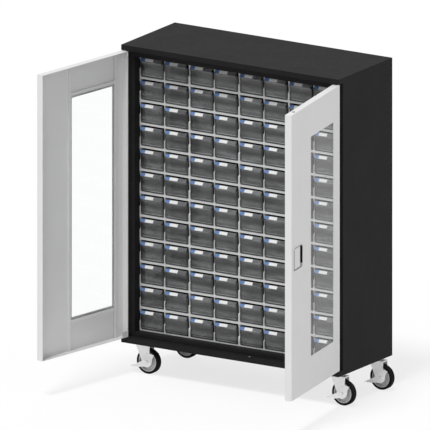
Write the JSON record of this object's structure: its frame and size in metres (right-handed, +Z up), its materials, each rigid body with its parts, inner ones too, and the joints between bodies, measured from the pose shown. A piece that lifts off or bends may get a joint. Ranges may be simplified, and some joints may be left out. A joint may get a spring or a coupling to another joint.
{
  "type": "mobile parts bin cabinet",
  "caption": "Tall steel cabinet on braked swivel casters, with two windowed doors standing open before stacked racks of slide-out labelled parts bins; the right door has a paddle latch.",
  "frame": {"origin": "on the floor under the middle of the space that the cabinet takes up with its doors open", "axes": "+Z up, +Y from the doors' side towards the back, +X to the right as seen from the doors' side"},
  "size_m": [1.783, 1.3396, 2.021],
  "materials": {
    "paint_black": "black powder coat, satin",
    "paint_white": "light grey-white powder coat, satin",
    "shell_grey": "light grey moulded plastic, lightly grained",
    "bin_smoke": "smoke-tinted clear moulded plastic",
    "pane_clear": "clear acrylic sheet, polished",
    "zinc_steel": "bright zinc plate",
    "bush_black": "black nylon",
    "hub_grey": "grey moulded wheel centre",
    "tyre_black": "black rubber tread"
  },
  "bodies": {
    "cabinet": {"top_panel": "paint_black", "base_panel": "paint_black", "side_panel_left": "paint_black", "side_panel_right": "paint_black", "back_panel": "paint_black", "header_rail": "paint_black", "sill_plinth": "paint_black", "pivot_bushes": "bush_black", "caster_rails": "paint_black", "caster_plates": "zinc_steel", "caster_bolts": "zinc_steel", "caster_nuts": "zinc_steel", "bin_shells_1": "shell_grey", "bin_shells_2": "shell_grey", "bin_shells_3": "shell_grey", "bin_shells_4": "shell_grey"},
    "left_door": {"door_left_skin": "paint_white", "door_left_frame": "paint_white", "door_left_pane": "pane_clear", "door_left_pivots": "zinc_steel"},
    "right_door": {"door_right_skin": "paint_white", "door_right_frame": "paint_white", "door_right_pane": "pane_clear", "door_right_pivots": "zinc_steel", "handle_cup": "paint_white", "handle_pin": "zinc_steel", "rod_guides": "bush_black"},
    "paddle": {"handle_paddle": "paint_white"},
    "cam": {"latch_cam": "zinc_steel"},
    "upper_rod": {"latch_rod_upper": "zinc_steel"},
    "lower_rod": {"latch_rod_lower": "zinc_steel"},
    "caster_1_swivel": {"caster_1_fork": "zinc_steel"},
    "caster_1_brake": {"caster_1_brake": "zinc_steel"},
    "caster_1_wheel": {"caster_1_hub": "hub_grey", "caster_1_tyre": "tyre_black"},
    "caster_2_swivel": {"caster_2_fork": "zinc_steel"},
    "caster_2_brake": {"caster_2_brake": "zinc_steel"},
    "caster_2_wheel": {"caster_2_hub": "hub_grey", "caster_2_tyre": "tyre_black"},
    "caster_3_swivel": {"caster_3_fork": "zinc_steel"},
    "caster_3_brake": {"caster_3_brake": "zinc_steel"},
    "caster_3_wheel": {"caster_3_hub": "hub_grey", "caster_3_tyre": "tyre_black"},
    "caster_4_swivel": {"caster_4_fork": "zinc_steel"},
    "caster_4_brake": {"caster_4_brake": "zinc_steel"},
    "caster_4_wheel": {"caster_4_hub": "hub_grey", "caster_4_tyre": "tyre_black"},
    "bin_row_01": {"bins_row_01": "bin_smoke"},
    "bin_row_02": {"bins_row_02": "bin_smoke"},
    "bin_row_03": {"bins_row_03": "bin_smoke"},
    "bin_row_04": {"bins_row_04": "bin_smoke"},
    "bin_row_05": {"bins_row_05": "bin_smoke"},
    "bin_row_06": {"bins_row_06": "bin_smoke"},
    "bin_row_07": {"bins_row_07": "bin_smoke"},
    "bin_row_08": {"bins_row_08": "bin_smoke"},
    "bin_row_09": {"bins_row_09": "bin_smoke"},
    "bin_row_10": {"bins_row_10": "bin_smoke"},
    "bin_row_11": {"bins_row_11": "bin_smoke"},
    "bin_row_12": {"bins_row_12": "bin_smoke"}
  },
  "joints": [
    {"name": "left_door_hinge", "type": "hinge", "parent": "cabinet", "child": "left_door", "pos_m": [-0.7545, 0.0773, 1.1065], "axis": [0, 0, -1], "range_deg": [-100, 80]},
    {"name": "right_door_hinge", "type": "hinge", "parent": "cabinet", "child": "right_door", "pos_m": [0.7545, 0.0773, 1.1065], "axis": [0, 0, 1], "range_deg": [-100, 80]},
    {"name": "paddle_pivot", "type": "hinge", "parent": "right_door", "child": "paddle", "pos_m": [0.87667, -0.62129, 1.087], "axis": [0, 0, -1], "range_deg": [-12, 0]},
    {"name": "cam_pivot", "type": "hinge", "parent": "right_door", "child": "cam", "pos_m": [0.83766, -0.56826, 1.087], "axis": [0.9848, 0.1736, 0], "range_deg": [-50, 0]},
    {"name": "upper_rod_slide", "type": "slide", "parent": "right_door", "child": "upper_rod", "axis": [0, 0, -1], "range_m": [-0.0159, 0]},
    {"name": "lower_rod_slide", "type": "slide", "parent": "right_door", "child": "lower_rod", "axis": [0, 0, 1], "range_m": [-0.0159, 0]},
    {"name": "caster_1_swivel", "type": "hinge", "parent": "cabinet", "child": "caster_1_swivel", "pos_m": [-0.684, 0.15981, 0.1745], "axis": [0, 0, 1], "continuous": true},
    {"name": "caster_1_roll", "type": "hinge", "parent": "caster_1_swivel", "child": "caster_1_wheel", "pos_m": [-0.623, 0.15981, 0.0762], "axis": [0, 1, 0], "continuous": true},
    {"name": "caster_1_brake_lever", "type": "hinge", "parent": "caster_1_swivel", "child": "caster_1_brake", "pos_m": [-0.623, 0.15981, 0.0762], "axis": [0, -1, 0], "range_deg": [0, 10]},
    {"name": "caster_2_swivel", "type": "hinge", "parent": "cabinet", "child": "caster_2_swivel", "pos_m": [0.684, 0.15981, 0.1745], "axis": [0, 0, 1], "continuous": true},
    {"name": "caster_2_roll", "type": "hinge", "parent": "caster_2_swivel", "child": "caster_2_wheel", "pos_m": [0.745, 0.15981, 0.0762], "axis": [0, 1, 0], "continuous": true},
    {"name": "caster_2_brake_lever", "type": "hinge", "parent": "caster_2_swivel", "child": "caster_2_brake", "pos_m": [0.745, 0.15981, 0.0762], "axis": [0, -1, 0], "range_deg": [0, 10]},
    {"name": "caster_3_swivel", "type": "hinge", "parent": "cabinet", "child": "caster_3_swivel", "pos_m": [-0.684, 0.58581, 0.1745], "axis": [0, 0, 1], "continuous": true},
    {"name": "caster_3_roll", "type": "hinge", "parent": "caster_3_swivel", "child": "caster_3_wheel", "pos_m": [-0.623, 0.58581, 0.0762], "axis": [0, 1, 0], "continuous": true},
    {"name": "caster_3_brake_lever", "type": "hinge", "parent": "caster_3_swivel", "child": "caster_3_brake", "pos_m": [-0.623, 0.58581, 0.0762], "axis": [0, -1, 0], "range_deg": [0, 10]},
    {"name": "caster_4_swivel", "type": "hinge", "parent": "cabinet", "child": "caster_4_swivel", "pos_m": [0.684, 0.58581, 0.1745], "axis": [0, 0, 1], "continuous": true},
    {"name": "caster_4_roll", "type": "hinge", "parent": "caster_4_swivel", "child": "caster_4_wheel", "pos_m": [0.745, 0.58581, 0.0762], "axis": [0, 1, 0], "continuous": true},
    {"name": "caster_4_brake_lever", "type": "hinge", "parent": "caster_4_swivel", "child": "caster_4_brake", "pos_m": [0.745, 0.58581, 0.0762], "axis": [0, -1, 0], "range_deg": [0, 10]},
    {"name": "bin_row_01_slide", "type": "slide", "parent": "cabinet", "child": "bin_row_01", "axis": [0, -1, 0], "range_m": [0, 0.3]},
    {"name": "bin_row_02_slide", "type": "slide", "parent": "cabinet", "child": "bin_row_02", "axis": [0, -1, 0], "range_m": [0, 0.3]},
    {"name": "bin_row_03_slide", "type": "slide", "parent": "cabinet", "child": "bin_row_03", "axis": [0, -1, 0], "range_m": [0, 0.3]},
    {"name": "bin_row_04_slide", "type": "slide", "parent": "cabinet", "child": "bin_row_04", "axis": [0, -1, 0], "range_m": [0, 0.3]},
    {"name": "bin_row_05_slide", "type": "slide", "parent": "cabinet", "child": "bin_row_05", "axis": [0, -1, 0], "range_m": [0, 0.3]},
    {"name": "bin_row_06_slide", "type": "slide", "parent": "cabinet", "child": "bin_row_06", "axis": [0, -1, 0], "range_m": [0, 0.3]},
    {"name": "bin_row_07_slide", "type": "slide", "parent": "cabinet", "child": "bin_row_07", "axis": [0, -1, 0], "range_m": [0, 0.3]},
    {"name": "bin_row_08_slide", "type": "slide", "parent": "cabinet", "child": "bin_row_08", "axis": [0, -1, 0], "range_m": [0, 0.3]},
    {"name": "bin_row_09_slide", "type": "slide", "parent": "cabinet", "child": "bin_row_09", "axis": [0, -1, 0], "range_m": [0, 0.3]},
    {"name": "bin_row_10_slide", "type": "slide", "parent": "cabinet", "child": "bin_row_10", "axis": [0, -1, 0], "range_m": [0, 0.3]},
    {"name": "bin_row_11_slide", "type": "slide", "parent": "cabinet", "child": "bin_row_11", "axis": [0, -1, 0], "range_m": [0, 0.3]},
    {"name": "bin_row_12_slide", "type": "slide", "parent": "cabinet", "child": "bin_row_12", "axis": [0, -1, 0], "range_m": [0, 0.3]}
  ],
  "couplings": [
    {"joint": "cam_pivot", "follows": "paddle_pivot", "ratio": 4.1667},
    {"joint": "upper_rod_slide", "follows": "paddle_pivot", "m_per_rad": 0.0757},
    {"joint": "lower_rod_slide", "follows": "paddle_pivot", "m_per_rad": 0.0757}
  ]
}
